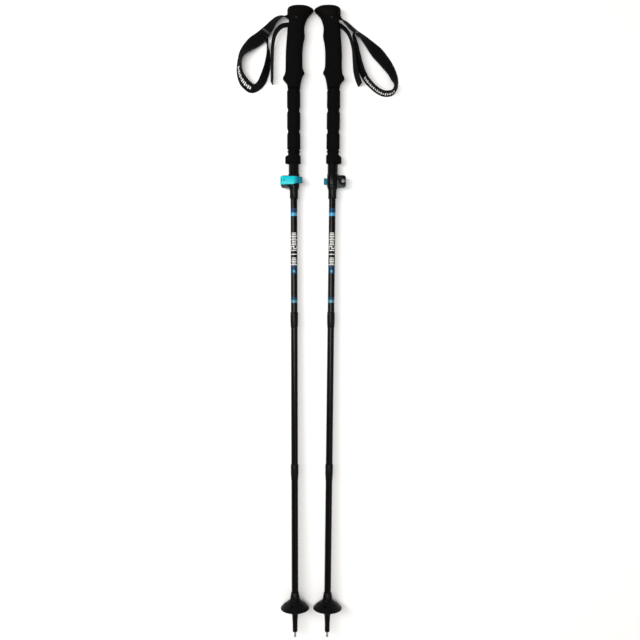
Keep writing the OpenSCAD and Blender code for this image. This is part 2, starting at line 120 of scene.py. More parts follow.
# Wrist straps: x, y, lean in degrees, width, how far it has risen from the floor to the slot
LOOPS = {
    "left": [
        (-58.5, 606, 2, 20, 1), (-64, 606.4, 17, 20, 1), (-71, 606.8, 33, 20, 0.95),
        (-80, 603.5, 42, 20.5, 0.8), (-89, 596, 50, 21.5, 0.55), (-98.5, 585, 62, 24, 0.3),
        (-113.4, 570.5, 75, 27, 0.08), (-129.5, 558.5, 76, 28, 0), (-146, 542, 50, 26, 0),
        (-154, 527.5, 30, 24, 0), (-157, 510, 27, 24, 0), (-155.5, 495, 32, 24, 0),
        (-150, 482, 44, 24, 0), (-143, 473, 44, 24, 0), (-134, 466, 38, 24, 0),
        (-124.5, 465, 18, 24, 0), (-116, 471, 20, 24, 0), (-109.5, 481, 26, 24, 0),
        (-105, 493, 26, 24, 0), (-101.5, 504, 24, 24, 0), (-99.3, 517, 19, 23, 0),
        (-98.2, 530, 13, 22, 0), (-98.6, 543, 8, 21, 0), (-101, 555, 3, 20, 0),
        (-104.5, 567, 40, 15, 0),
    ],
    "right": [
        (44.7, 604.5, -2, 20, 1), (49.5, 601, -17, 20, 1), (56, 595.5, -31, 20, 0.95),
        (65.5, 586.5, -36, 20.5, 0.8), (75, 578.5, -36, 22, 0.55), (90.1, 567.5, -40, 24, 0.2),
        (105, 553.5, -58, 25, 0.03), (120.5, 537.5, -75, 27, 0), (132, 524, -75, 26, 0),
        (141.3, 511, -68, 25, 0), (149.8, 496, -55, 24, 0), (154.5, 482.5, -42, 24, 0),
        (157, 468.5, -18, 24, 0), (151.5, 457, -10, 24, 0), (140.5, 453.4, -10, 24, 0),
        (128.5, 455.3, -9, 24, 0), (114.7, 464.3, -11, 24, 0), (100, 479.8, -14, 24, 0),
        (92, 493.5, -18, 24, 0), (86, 509, -20, 24, 0), (81.8, 530, -18, 22, 0),
        (78.8, 548, -13, 20, 0), (75, 562, -6, 20, 0.05), (71.6, 574, -3, 18, 0.12),
    ],
}
TAILS = {
    "left": [
        (-58.5, 590, 0, 20, 1), (-64, 589.2, 0, 20, 1), (-71, 587.4, -2, 20, 1),
        (-78.5, 581.5, -5, 20, 0.9), (-84.5, 572, -8, 20, 0.8), (-88, 560, -10, 20, 0.6),
        (-90, 544, -10, 20, 0.35), (-90.8, 523, -10, 20, 0.1), (-91, 504, -9, 20, 0),
        (-91, 490, -8, 20, 0), (-91.5, 475, -6, 20, 0),
    ],
    "right": [
        (44.7, 589, 0, 20, 1), (49.5, 586.2, 0, 20, 1), (56.5, 579.8, 1, 20, 1),
        (63, 570.5, 3, 20, 0.85), (68.2, 558, 6, 20, 0.6), (71.8, 543, 9, 20, 0.35),
        (74.3, 522, 16, 20, 0.1), (76.8, 502, 22, 20, 0), (80.6, 486, 22, 20, 0), (85.7, 472, 20, 20, 0),
    ],
}
# Places along each loop, counted in route points from the slot: the seam, and the printed stretch
SEAM = {"left": 5.3, "right": 4.2}
PRINT_SPAN = {"left": (10.2, 14.3), "right": (12.7, 17.6)}


class Pole:
    """One pole's axes and the matrix that takes its millimetres to the row frame."""

    def __init__(self, side):
        self.side = side
        self.up = -Vector(JOINTS[side + "_length_slide"]["axis"]).normalized()
        self.nose = Vector(JOINTS[side + "_button_push"]["axis"]).normalized()
        self.depth = self.up.cross(self.nose)
        pivot = Vector(JOINTS[side + "_lower_fold"]["pos_m"])
        self.tip = pivot + (FOLD_OFFSET * self.nose - LOWER_JOINT * self.up) * MM
        rows = [[self.nose[i] * MM, self.depth[i] * MM, self.up[i] * MM, self.tip[i]] for i in range(3)]
        self.matrix = Matrix(rows + [[0, 0, 0, 1]])

    def at(self, x, y, s):
        """A point of the pole's own axes, in metres of the row frame."""
        return self.matrix @ Vector((x, y, s))

    def own(self, name):
        """The full name of this pole's body, node or piece."""
        return f"{self.side}_{name}"


# ---- Mesh helpers ----

def mesh_object(name, points, faces, smooth_angle=35):
    """A new object from points and faces, with its normals outward and its sharp edges kept."""
    mesh = bpy.data.meshes.new(name)
    mesh.from_pydata([tuple(p) for p in points], [], faces)
    obj = bpy.data.objects.new(name, mesh)
    bpy.context.scene.collection.objects.link(obj)
    tidy_mesh(obj, smooth_angle)
    return obj


def tidy_mesh(obj, smooth_angle=35):
    """Turns a mesh's normals outward, and shades it smooth between its sharp edges."""
    bm = bmesh.new()
    bm.from_mesh(obj.data)
    bmesh.ops.recalc_face_normals(bm, faces=bm.faces)
    bm.to_mesh(obj.data)
    bm.free()
    for polygon in obj.data.polygons:
        polygon.use_smooth = True
    obj.data.set_sharp_from_angle(angle=math.radians(smooth_angle))


def apply_modifiers(obj):
    """Bakes an object's modifiers into its mesh."""
    evaluated = obj.evaluated_get(bpy.context.evaluated_depsgraph_get())
    mesh = bpy.data.meshes.new_from_object(evaluated)
    obj.modifiers.clear()
    obj.data = mesh


def cut(obj, cutters):
    """Takes each cutter out of an object and removes the cutters."""
    for cutter in cutters:
        modifier = obj.modifiers.new("cut", "BOOLEAN")
        modifier.operation = "DIFFERENCE"
        modifier.solver = "EXACT"
        modifier.object = cutter
    apply_modifiers(obj)
    for cutter in cutters:
        bpy.data.objects.remove(cutter)
    tidy_mesh(obj)


def joined(name, objects):
    """One object from several, which are removed."""
    bm = bmesh.new()
    for obj in objects:
        bm.from_mesh(obj.data)
        bpy.data.objects.remove(obj)
    mesh = bpy.data.meshes.new(name)
    bm.to_mesh(mesh)
    bm.free()
    whole = bpy.data.objects.new(name, mesh)
    bpy.context.scene.collection.objects.link(whole)
    tidy_mesh(whole)
    return whole


def revolve(name, profile, segments=72):
    """A closed turned solid from (radius, s) points, the last joined to the first, or both on the axis."""
    points, rings = [], []
    for radius, s in profile:
        if radius < 1e-6:
            rings.append([len(points)])
            points.append((0, 0, s))
            continue
        rings.append(list(range(len(points), len(points) + segments)))
        for k in range(segments):
            turn = 2 * math.pi * k / segments
            points.append((radius * math.cos(turn), radius * math.sin(turn), s))
    solid = len(rings[0]) == 1 and len(rings[-1]) == 1
    pairs = list(zip(rings, rings[1:])) + ([] if solid else [(rings[-1], rings[0])])
    faces = []
    for a, b in pairs:
        for k in range(segments):
            n = (k + 1) % segments
            if len(a) == 1:
                faces.append((a[0], b[k], b[n]))
            elif len(b) == 1:
                faces.append((a[k], b[0], a[n]))
            else:
                faces.append((a[k], b[k], b[n], a[n]))
    return mesh_object(name, points, faces)


def skin(name, rings, smooth_angle=35):
    """A closed skin through rings that have the same number of points."""
    n = len(rings[0])
    points = [p for ring in rings for p in ring]
    last = (len(rings) - 1) * n
    faces = [tuple(range(n)), tuple(range(last + n - 1, last - 1, -1))]
    for k in range(len(rings) - 1):
        for i in range(n):
            j = (i + 1) % n
            faces.append((k * n + i, (k + 1) * n + i, (k + 1) * n + j, k * n + j))
    return mesh_object(name, points, faces, smooth_angle)


def block(name, low, high):
    """A box between two corners, for cutting."""
    corners = [(x, y, z) for z in (low[2], high[2]) for y in (low[1], high[1]) for x in (low[0], high[0])]
    faces = [(0, 1, 3, 2), (4, 6, 7, 5), (0, 4, 5, 1), (2, 3, 7, 6), (0, 2, 6, 4), (1, 5, 7, 3)]
    return mesh_object(name, corners, faces)


def smoothed(rows, t):
    """A row of a table at a place t counted in rows, on a curve through the rows."""
    i = min(int(t), len(rows) - 2)
    f = t - i
    a, b, c, d = (rows[max(0, min(len(rows) - 1, k))] for k in (i - 1, i, i + 1, i + 2))
    if i == 0:
        a = [2 * q - r for q, r in zip(b, c)]
    if i == len(rows) - 2:
        d = [2 * r - q for q, r in zip(b, c)]
    return [
        0.5 * (2 * q + (r - p) * f + (2 * p - 5 * q + 4 * r - w) * f * f + (3 * q - p - 3 * r + w) * f ** 3)
        for p, q, r, w in zip(a, b, c, d)
    ]


def place(obj, pole):
    """Moves a piece from its pole's millimetres to the row frame."""
    obj.data.transform(pole.matrix)
    return obj


def finish_piece(obj, body, material, slot, *nodes):
    """Gives a piece its material and its body, and hides the CAD nodes that it stands for. The slot is not
    used.
    """
    obj.data.materials.clear()
    obj.data.materials.append(material)
    if body:
        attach(obj, body)
    if nodes:
        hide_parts(*nodes)


# ---- Materials ----

class Material:
    """A material under construction: its Principled shader and the nodes that feed it."""

    def __init__(self, name, color, roughness, metallic=0.0, specular=0.5, **sockets):
        self.material = bpy.data.materials.new(name)
        self.material.use_nodes = True
        self.nodes = self.material.node_tree.nodes
        self.links = self.material.node_tree.links
        self.shader = self.nodes["Principled BSDF"]
        self.shader.inputs["Base Color"].default_value = (*color, 1)
        self.shader.inputs["Roughness"].default_value = roughness
        self.shader.inputs["Metallic"].default_value = metallic
        self.shader.inputs["Specular IOR Level"].default_value = specular
        for socket, value in sockets.items():
            self.shader.inputs[socket.replace("_", " ")].default_value = value
        self.height = None

    def add(self, kind, inputs=(), **settings):
        node = self.nodes.new("ShaderNode" + kind)
        for key, value in settings.items():
            setattr(node, key, value)
        for key, value in dict(inputs).items():
            if isinstance(value, bpy.types.NodeSocket):
                self.links.new(value, node.inputs[key])
            else:
                node.inputs[key].default_value = value
        return node

    def place_in(self, stretch=(1, 1, 1)):
        """Object coordinates in metres, stretched along each axis."""
        coordinates = self.add("TexCoord").outputs["Object"]
        return self.add("Mapping", {"Vector": coordinates, "Scale": stretch}).outputs["Vector"]

    def noise(self, scale, detail=2, stretch=(1, 1, 1)):
        inputs = {"Vector": self.place_in(stretch), "Scale": scale, "Detail": detail}
        return self.add("TexNoise", inputs).outputs["Fac"]

    def cells(self, scale):
        inputs = {"Vector": self.place_in(), "Scale": scale}
        return self.add("TexVoronoi", inputs, feature="F1").outputs["Distance"]

    def spread(self, value, low, high, from_low=0.0, from_high=1.0):
        inputs = {"Value": value, "From Min": from_low, "From Max": from_high, "To Min": low, "To Max": high}
        return self.add("MapRange", inputs).outputs["Result"]

    def math(self, operation, a, b):
        return self.add("Math", {0: a, 1: b}, operation=operation).outputs[0]

    def color_between(self, value, low, high, from_low=0.3, from_high=0.7):
        factor = self.spread(value, 0, 1, from_low, from_high)
        mix = self.add("Mix", {"Factor": factor}, data_type="RGBA")
        colors = [socket for socket in mix.inputs if socket.type == "RGBA"]
        colors[0].default_value = (*low, 1)
        colors[1].default_value = (*high, 1)
        result = next(socket for socket in mix.outputs if socket.type == "RGBA")
        self.links.new(result, self.shader.inputs["Base Color"])

    def roughness_between(self, value, low, high, from_low=0.3, from_high=0.7):
        result = self.spread(value, low, high, from_low, from_high)
        self.links.new(result, self.shader.inputs["Roughness"])

    def bump(self, value, strength, distance):
        """Adds a height to what the surface already has."""
        inputs = {"Height": value, "Strength": strength, "Distance": distance}
        if self.height is not None:
            inputs["Normal"] = self.height
        self.height = self.add("Bump", inputs).outputs["Normal"]
        self.links.new(self.height, self.shader.inputs["Normal"])
        return self


def foam_material():
    m = Material("closed_cell_foam", (0.0022, 0.0022, 0.0023), 0.9, specular=0.04)
    m.color_between(m.noise(420, 4), (0.001, 0.001, 0.0011), (0.0036, 0.0036, 0.0037))
    m.roughness_between(m.noise(150, 2), 0.82, 0.95)
    return m.bump(m.cells(1500), 0.35, 0.0004).bump(m.noise(260, 3), 0.3, 0.0006).material


def cap_material():
    m = Material("cap_rubber", (0.0026, 0.0024, 0.0019), 0.6, specular=0.02)
    m.color_between(m.noise(60, 3), (0.0019, 0.0018, 0.0014), (0.0034, 0.0031, 0.0025))
    m.roughness_between(m.noise(300, 2), 0.48, 0.62)
    return m.bump(m.cells(1100), 0.25, 0.0003).material


def hook_loop_material():
    m = Material("hook_and_loop", (0.003, 0.003, 0.0032), 0.95, specular=0.03)
    m.color_between(m.noise(900, 4), (0.0012, 0.0012, 0.0014), (0.0055, 0.0055, 0.0058))
    return m.bump(m.noise(2200, 4), 0.8, 0.0006).material


def woven(m, pitch_across, pitch_along, depth):
    """Bump and tint of a plain weave, laid out by the cloth attribute (across, along) in metres."""
    cloth = m.add("Attribute", attribute_name="cloth").outputs["Vector"]
    parts = m.add("SeparateXYZ", {"Vector": cloth})
    waves = []
    for socket, pitch in (("X", pitch_across), ("Y", pitch_along)):
        scaled = m.math("MULTIPLY", parts.outputs[socket], 2 * math.pi / pitch)
        waves.append(m.math("SINE", scaled, 0.0))
    weave = m.math("MULTIPLY", waves[0], waves[1])
    return m.bump(weave, 0.7, depth), weave


def webbing_material():
    m = Material("woven_webbing", (0.0024, 0.0024, 0.0027), 0.75, specular=0.05)
    m, weave = woven(m, 0.0022, 0.0016, 0.00025)
    m.color_between(weave, (0.0012, 0.0012, 0.0014), (0.0042, 0.0042, 0.0048), -1, 1)
    return m.bump(m.noise(1500, 3), 0.3, 0.0002).material


def band_material():
    m = Material("padded_mesh", (0.0022, 0.0022, 0.0025), 0.8, specular=0.05)
    m, weave = woven(m, 0.0014, 0.0014, 0.0003)
    m.color_between(weave, (0.001, 0.001, 0.0012), (0.0038, 0.0038, 0.0044), -1, 1)
    return m.bump(m.noise(180, 3), 0.35, 0.0008).material


def thread_material(name, color):
    m = Material(name, color, 0.7, specular=0.3, Sheen_Weight=0.2)
    dark = tuple(0.6 * c for c in color)
    m.color_between(m.noise(3000, 2), dark, color)
    return m.bump(m.noise(6000, 2), 0.4, 0.0001).material


def print_material(name, color, roughness=0.4):
    m = Material(name, color, roughness, specular=0.45)
    worn = tuple(0.78 * c for c in color)
    m.color_between(m.noise(700, 5), worn, color, 0.25, 0.5)
    return m.bump(m.noise(1800, 2), 0.15, 0.0001).material


def ring_material():
    """Deep blue lacquer of the printed rings and of the band below the scale."""
    m = Material("ring_print", (0.002, 0.028, 0.07), 0.3, specular=0.1)
    m.color_between(m.noise(350, 3), (0.001, 0.02, 0.055), (0.003, 0.04, 0.09))
    return m.bump(m.noise(900, 2), 0.1, 0.0001).material


def shaft_material():
    m = Material("shaft_lacquer", (0.0013, 0.0013, 0.0015), 0.2, specular=0.1)
    m.color_between(m.noise(90, 3, (1, 0.25, 1)), (0.0008, 0.0008, 0.001), (0.0022, 0.002, 0.0021))
    streaks = m.noise(2400, 2, (1, 0.03, 1))
    m.roughness_between(streaks, 0.16, 0.24)
    return m.bump(streaks, 0.06, 0.0001).bump(m.noise(500, 2), 0.03, 0.0002).material


def moulded_material(name, color, roughness, grain=1300, specular=0.45):
    """Moulded plastic: a fine grain, a slight drift of tone and patches of polish from handling."""
    m = Material(name, color, roughness, specular=specular)
    m.color_between(m.noise(70, 4), tuple(0.75 * c for c in color), tuple(1.25 * c for c in color))
    m.roughness_between(m.noise(160, 3), roughness - 0.07, roughness + 0.07)
    return m.bump(m.cells(grain), 0.14, 0.0002).material


def lever_material():
    """Teal plastic, darker towards the lever's free end by painted shade, as that end curls away from the
    light.

    The reach attribute lays out the lit teal and the painted shade: it is the distance from the pole's axis,
    in mm.
    """
    m = Material("lever_teal", (0.0, 0.4, 0.45), 0.36, specular=0.18)
    reach = m.add("Attribute", attribute_name="reach").outputs["Fac"]
    drift = m.math("MULTIPLY", m.noise(60, 4), 3.0)
    # Painted shade: from about 1 to 9.5 mm out from the axis the teal darkens to a deep blue-teal, where the
    # lever curls away from the light
    m.color_between(m.math("ADD", reach, drift), (0.0, 0.43, 0.47), (0.002, 0.15, 0.22), 1.0, 9.5)
    m.roughness_between(m.noise(220, 3), 0.27, 0.4)
    return m.bump(m.cells(1500), 0.15, 0.0002).material


def metal_material(name, color, roughness, stretch=(1, 1, 1)):
    m = Material(name, color, roughness, metallic=1.0)
    lines = m.noise(1800, 3, stretch)
    m.color_between(m.noise(120, 3), tuple(0.82 * c for c in color), color)
    m.roughness_between(lines, roughness - 0.08, roughness + 0.1)
    return m.bump(lines, 0.18, 0.0001).material


def cable_material():
    m = Material("cable_coating", (0.02, 0.02, 0.022), 0.3, specular=0.5, Coat_Weight=0.3)
    inputs = {"Vector": m.place_in(), "Scale": 420.0, "Distortion": 0.4}
    lay = m.add("TexWave", inputs, bands_direction="DIAGONAL")
    m.color_between(lay.outputs["Fac"], (0.012, 0.012, 0.014), (0.035, 0.035, 0.038))
    return m.bump(lay.outputs["Fac"], 0.5, 0.0002).material


FOAM = foam_material()
CAP = cap_material()
HOOK_LOOP = hook_loop_material()
WEBBING = webbing_material()
BAND = band_material()
DARK_THREAD = thread_material("dark_thread", (0.012, 0.012, 0.013))
LIGHT_THREAD = thread_material("light_thread", (0.2, 0.21, 0.23))
WHITE_PRINT = print_material("white_print", (0.66, 0.66, 0.64))
CYAN_PRINT = print_material("cyan_print", (0.015, 0.22, 0.4), 0.3)
TEAL_PRINT = print_material("teal_print", (0.004, 0.13, 0.19), 0.3)
RING_PRINT = ring_material()
SHAFT = shaft_material()
COLLAR = moulded_material("collar_plastic", (0.0026, 0.0026, 0.0027), 0.32, specular=0.08)
CLAMP = moulded_material("clamp_plastic", (0.0022, 0.0022, 0.0023), 0.27, specular=0.09)
LEVER = lever_material()
TIP = moulded_material("tip_plastic", (0.0022, 0.0022, 0.0025), 0.3, specular=0.08)
BASKET = moulded_material("basket_plastic", (0.0022, 0.0022, 0.0022), 0.36, 900, 0.07)
BUSHING = moulded_material("bushing_plastic", (0.12, 0.12, 0.13), 0.5)
# Painted shade: a near-black colour for the disc that stands for the shade inside the lever's hole
HOLE = moulded_material("hole_shade", (0.004, 0.004, 0.0045), 0.8)
STEEL = metal_material("bright_steel", (0.62, 0.62, 0.63), 0.3)
SCREW_STEEL = metal_material("screw_steel", (0.16, 0.15, 0.15), 0.4)
DARK_STEEL = metal_material("blackened_steel", (0.035, 0.035, 0.037), 0.42)
INNER = metal_material("anodised_tube", (0.34, 0.34, 0.36), 0.38, (1, 0.05, 1))
CARBIDE = metal_material("carbide", (0.5, 0.5, 0.52), 0.26, (1, 0.1, 1))
CABLE = cable_material()


# ---- Refined copies of hard CAD parts ----

def refined(pole, node, material, slot, body, bevel):
    """A copy of a CAD node's mesh with its hard edges rounded, which stands for the node."""
    full = pole.own(node)
    mesh = frame["nodes"][full].data.copy()
    mesh.name = full + "_body"
    obj = bpy.data.objects.new(full + "_body", mesh)
    bpy.context.scene.collection.objects.link(obj)
    bm = bmesh.new()
    bm.from_mesh(mesh)
    bmesh.ops.remove_doubles(bm, verts=bm.verts, dist=1e-6)
    bmesh.ops.dissolve_limit(bm, angle_limit=math.radians(1.0), verts=bm.verts, edges=bm.edges)
    bm.to_mesh(mesh)
    bm.free()
    modifier = obj.modifiers.new("rounding", "BEVEL")
    modifier.width = bevel * MM
    modifier.segments = 2
    modifier.limit_method = "ANGLE"
    modifier.angle_limit = math.radians(38)
    modifier.use_clamp_overlap = True
    apply_modifiers(obj)
    tidy_mesh(obj, 30)
    # The distance from the pole's axis, in mm, which lays out the lever's painted shade
    back = pole.matrix.inverted()
    reach = obj.data.attributes.new("reach", "FLOAT", "POINT")
    reach.data.foreach_set("value", [(back @ vertex.co).x for vertex in obj.data.vertices])
    finish_piece(obj, pole.own(body), material, slot, full)


def cad_finish(pole, node, material):
    """A better material on a CAD node that stays as it is."""
    obj = frame["nodes"][pole.own(node)]
    obj.data.materials.clear()
    obj.data.materials.append(material)


# ---- Grip ----

FOAM_TOP = GRIP_BASE - 0.2
BORE_R = GRIP_TUBE_R + 0.06
BORE_TOP = GRIP_BASE + 110.5
PIN_HOLE_R = 2.05
LOFT_SIDES = 112
LOFT_STEPS = 6
FINE_SEGMENTS = 96
# The sleeve's shape. Its grooves, its neck's top, its ridge and its shoulder are at heights above its base.
FOAM_STEP = 0.5
GROOVES = (64, 106.5, 150)
GROOVE_WIDTH = 12.0
GROOVE_DEPTH = 1.7
NECK_TOP = 29.5
RIDGE_AT = 23.5
RIDGE_SPREAD = 1.5
RIDGE_SHARE = 0.85
SHOULDER_AT = 28.6
SHOULDER_STEEPNESS = 2.6


def egg_ring(section):
    """One ring of the grip, whose back and front parts meet where it is widest."""
    height, back, front, half, widest = section
    ring = []
    for k in range(LOFT_SIDES):
        turn = 2 * math.pi * k / LOFT_SIDES
        c, q = math.cos(turn), math.sin(turn)
        reach = front - widest if c >= 0 else back - widest
        x = widest + reach * abs(c) ** RING_POWER
        y = math.copysign(half * abs(q) ** RING_POWER, q)
        ring.append((x, y, GRIP_BASE + height))
    return ring


def lofted(name, sections):
    """A closed skin on a smooth curve through a table of sections."""
    count = (len(sections) - 1) * LOFT_STEPS
    return skin(name, [egg_ring(smoothed(sections, k / LOFT_STEPS)) for k in range(count + 1)], 40)


def slot_cutter():
    return block("slot_cutter", (-20, -SLOT_HALF, SLOT_LOW), (SLOT_FLOOR, SLOT_HALF, SLOT_HIGH))


def hand_grip(pole):
    """The moulded foam grip, with its tube's bore, the strap's slot and the pin's hole."""
    grip = lofted("grip", GRIP_SECTIONS)
    low = GRIP_BASE - 5
    bore = revolve("bore", [(0, low), (BORE_R, low), (BORE_R, BORE_TOP), (0, BORE_TOP)])
    pin_hole = revolve("pin_hole", [(0, -30), (PIN_HOLE_R, -30), (PIN_HOLE_R, 30), (0, 30)], 40)
    pin_hole.data.transform(Matrix.Translation((PIN_X, 0, PIN_AT)) @ Matrix.Rotation(math.pi / 2, 4, "X"))
    cut(grip, [bore, slot_cutter(), pin_hole])
    grip.name = pole.own("grip_foam")
    place(grip, pole)
    finish_piece(grip, pole.own("grip"), FOAM, "grip_foam", pole.own("hand_grip"))


def top_cap(pole):
    """The cap on the grip's head, with the top of the strap's slot."""
    cap = lofted("cap", CAP_SECTIONS)
    cut(cap, [slot_cutter()])
    cap.name = pole.own("cap_shell")
    place(cap, pole)
    finish_piece(cap, pole.own("grip"), CAP, "cap_rubber", pole.own("top_cap"))


def foam_profile():
    """Outside of the sleeve: a neck with a ridge for the storage strap, then swells between grooves."""
    radius = (GROOVE_WIDTH ** 2 / 4 + GROOVE_DEPTH ** 2) / (2 * GROOVE_DEPTH)
    points = []
    for k in range(int((FOAM_TOP - FOAM_BASE) / FOAM_STEP)):
        s = FOAM_BASE + FOAM_STEP * k
        r = FOAM_R
        for groove in GROOVES:
            off = abs(s - FOAM_BASE - groove)
            if off < GROOVE_WIDTH / 2:
                r = min(r, FOAM_R + radius - GROOVE_DEPTH - math.sqrt(radius ** 2 - off ** 2))
        if s < FOAM_BASE + NECK_TOP:
            ridge = math.exp(-((s - FOAM_BASE - RIDGE_AT) / RIDGE_SPREAD) ** 2)
            shoulder = 1 / (1 + math.exp(-(s - FOAM_BASE - SHOULDER_AT) * SHOULDER_STEEPNESS))
            r = FOAM_NECK_R + (FOAM_R - FOAM_NECK_R) * max(RIDGE_SHARE * ridge, shoulder)
        # The last millimetre at each end is rounded
        edge = min(s - FOAM_BASE, FOAM_TOP - s)
        if edge < 1:
            r -= 1 - math.sqrt(1 - (1 - edge) ** 2)
        points.append((r, s))
    return points


def grip_extension(pole):
    """The grooved foam sleeve under the hand grip."""
    profile = foam_profile()
    outline = [(BORE_R, FOAM_BASE), *profile, (BORE_R, profile[-1][1])]
    sleeve = revolve(pole.own("foam_sleeve"), outline, FINE_SEGMENTS)
    place(sleeve, pole)
    finish_piece(sleeve, pole.own("grip"), FOAM, "grip_foam", pole.own("grip_extension"))


# ---- Straps ----

# How high above the surface the straps enter the slot, which is 0.05 more than in the CAD source
SLOT_Z = 16.36
WEB_WIDTH = 20
WEB_THICK = 1.7
BAND_THICK = 2.4
TAIL_THICK = 2.0
# The heights at which the band and the tail start inside the slot and at which they leave it,
# and a stretch from inside the slot's mouth to outside it, whose ends are worked out but not used
BAND_ENTRY, BAND_MOUTH = SLOT_HIGH - 3.2, SLOT_HIGH - 4
TAIL_ENTRY, TAIL_MOUTH = SLOT_LOW + 3.8, SLOT_LOW + 4
MOUTH_BEND = (-2, 4)
# Steps to each route point, the gap between stations, and the route points over which the padding comes in
ROUTE_STEPS = 16
STATION_GAP = 2.0
PAD_IN = 0.25
# Shares of a strap's half width: its section's points, its round edge and its sewn channel
SECTION_AT = (-1, -0.985, -0.95, -0.88, -0.82, -0.78, -0.74, -0.66, -0.4, 0, 0.4, 0.66, 0.74, 0.78, 0.82,
              0.88, 0.95, 0.985, 1)
EDGE_FROM, EDGE_SPREAD = 0.93, 0.07
CHANNEL_AT, CHANNEL_SPREAD, CHANNEL_DEPTH = 0.79, 0.045, 0.32
CROWN = 0.1
RIPPLE_HEIGHT, RIPPLE_LENGTH, RIPPLE_DRIFT, RIPPLE_TWIST = 0.22, 9, 23, 2.2


def half_thickness(u, thick, pad):
    """Half thickness across a strap: a round edge, and beside it the sewn channel of the padded stretch."""
    a = abs(u)
    edge = math.sqrt(max(0.1, 1 - (max(0.0, a - EDGE_FROM) / EDGE_SPREAD) ** 2))
    channel = CHANNEL_DEPTH * math.exp(-((a - CHANNEL_AT) / CHANNEL_SPREAD) ** 2) * pad
    crown = CROWN * (1 - a * a) * pad
    return thick / 2 * (edge - channel + crown - CROWN * pad)


def ripple(at, u):
    """How far the padded stretch stands off its flat shape at a station, across place u."""
    wave = math.sin(at["along"] / RIPPLE_LENGTH)
    return RIPPLE_HEIGHT * at["pad"] * wave * math.cos(RIPPLE_TWIST * u + at["along"] / RIPPLE_DRIFT)


def on_face(at, u, face, lift=0.0):
    """A point on one face of a strap at a station, across place u, lifted off it."""
    off = face * (half_thickness(u, at["thick"], at["pad"]) + lift) + ripple(at, u)
    return at["centre"] + at["across"] * (u * at["width"] / 2) + at["through"] * off


class Ribbon:
    """A strap along a route: stations 2 mm apart, each with its centre, across and through directions."""

    def __init__(self, route, thick, pad_from=None):
        self.thick, self.pad_from = thick, pad_from
        fine = [smoothed(route, k / ROUTE_STEPS) for k in range((len(route) - 1) * ROUTE_STEPS + 1)]
        stations = []
        along = 0.0
        for k, row in enumerate(fine):
            if k:
                along += math.dist(row[:2], fine[k - 1][:2])
            stations.append(self.station(fine, k, along))
        self.length = along
        self.stations = stations[:1]
        for station in stations:
            if station["along"] - self.stations[-1]["along"] >= STATION_GAP:
                self.stations.append(station)
        if self.length - self.stations[-1]["along"] > 0.2:
            self.stations.append(stations[-1])

    def station(self, fine, k, along):
        """What the strap is like at row k of its fine route."""
        x, y, lean, width, rise = fine[k]
        ahead, behind = fine[min(k + 1, len(fine) - 1)], fine[max(k - 1, 0)]
        heading = Vector((ahead[0] - behind[0], ahead[1] - behind[1], 0)).normalized()
        side = Vector((-heading.y, heading.x, 0))
        tip = math.radians(lean)
        t = k / ROUTE_STEPS
        pad = 0.0 if self.pad_from is None else max(0.0, min(1.0, (t - self.pad_from) / PAD_IN))
        lying = STRAP_LIFT + width / 2 * math.cos(tip) + self.thick / 2 * abs(math.sin(tip))
        rise = max(0.0, min(1.0, rise))
        return {
            "t": t, "along": along, "width": width, "pad": pad,
            "thick": WEB_THICK + (self.thick - WEB_THICK) * pad,
            "centre": Vector((x, y, lying * (1 - rise) + SLOT_Z * rise)),
            "across": math.cos(tip) * Vector((0, 0, 1)) + math.sin(tip) * side,
            "through": math.cos(tip) * side - math.sin(tip) * Vector((0, 0, 1)),
        }

    def between(self, along):
        """The station at a distance along the strap."""
        for a, b in zip(self.stations, self.stations[1:]):
            if along <= b["along"]:
                break
        f = (along - a["along"]) / max(1e-9, b["along"] - a["along"])
        return {key: a[key] + (b[key] - a[key]) * f for key in a}

    def along_of(self, t):
        """The distance along the strap of a place counted in route points."""
        return min(self.stations, key=lambda station: abs(station["t"] - t))["along"]

    def surface(self, along, u, face, lift):
        """A point on one face of the strap, lifted off it."""
        return on_face(self.between(along), u, face, lift)

    def mesh(self, name):
        """The strap in metres, with the cloth attribute that its weave is laid out by."""
        rings, cloth = [], []
        for at in self.stations:
            ring = []
            for face, places in ((1, SECTION_AT), (-1, SECTION_AT[::-1])):
                for u in places:
                    ring.append(on_face(at, u, face))
                    cloth.append((u * at["width"] / 2 * MM, at["along"] * MM, 0))
            rings.append(ring)
        obj = skin(name, rings, 50)
        attribute = obj.data.attributes.new("cloth", "FLOAT_VECTOR", "POINT")
        attribute.data.foreach_set("vector", [c for point in cloth for c in point])
        obj.data.transform(Matrix.Scale(MM, 4))
        return obj

    def area(self):
        """The strap's flat area in square metres."""
        pairs = zip(self.stations, self.stations[1:])
        return sum((a["width"] + b["width"]) / 2 * (b["along"] - a["along"]) for a, b in pairs) * MM * MM


# How far a slab reaches into its surface and stands off it
SLAB_LIFTS = (-0.05, 0.07)


def slabs(name, patches, surface, steps=4):
    """Thin closed slabs lying on a surface, one for each (low along, high along, low across, high across)."""
    points, faces = [], []
    n = steps + 1
    for a0, a1, u0, u1 in patches:
        first = len(points)
        for lift in SLAB_LIFTS:
            for i in range(2):
                for k in range(n):
                    points.append(surface(a0 + (a1 - a0) * i, u0 + (u1 - u0) * k / steps, lift))
        for k in range(steps):
            a, b = first + k, first + n + k
            c, d = a + 2 * n, b + 2 * n
            faces += [(a, a + 1, b + 1, b), (c, d, d + 1, c + 1), (a, c, c + 1, a + 1), (b, b + 1, d + 1, d)]
        a, b = first, first + steps
        faces += [(a, a + n, a + 3 * n, a + 2 * n), (b, b + 2 * n, b + 3 * n, b + n)]
    return mesh_object(name, points, faces)


# A stitch's shape: places along it, and how thick it is there
STITCH_SHAPE = ((0.0, 0.35), (0.18, 0.95), (0.5, 1.15), (0.82, 0.95), (1.0, 0.35))
STITCH_SIDES = 6
STITCH_PITCH = 3.0
STITCH_LENGTH = 2.1
# A stitch across a strap, from its place u, as shares of the half width
CROSS_FROM, CROSS_TO = -0.06, 0.07


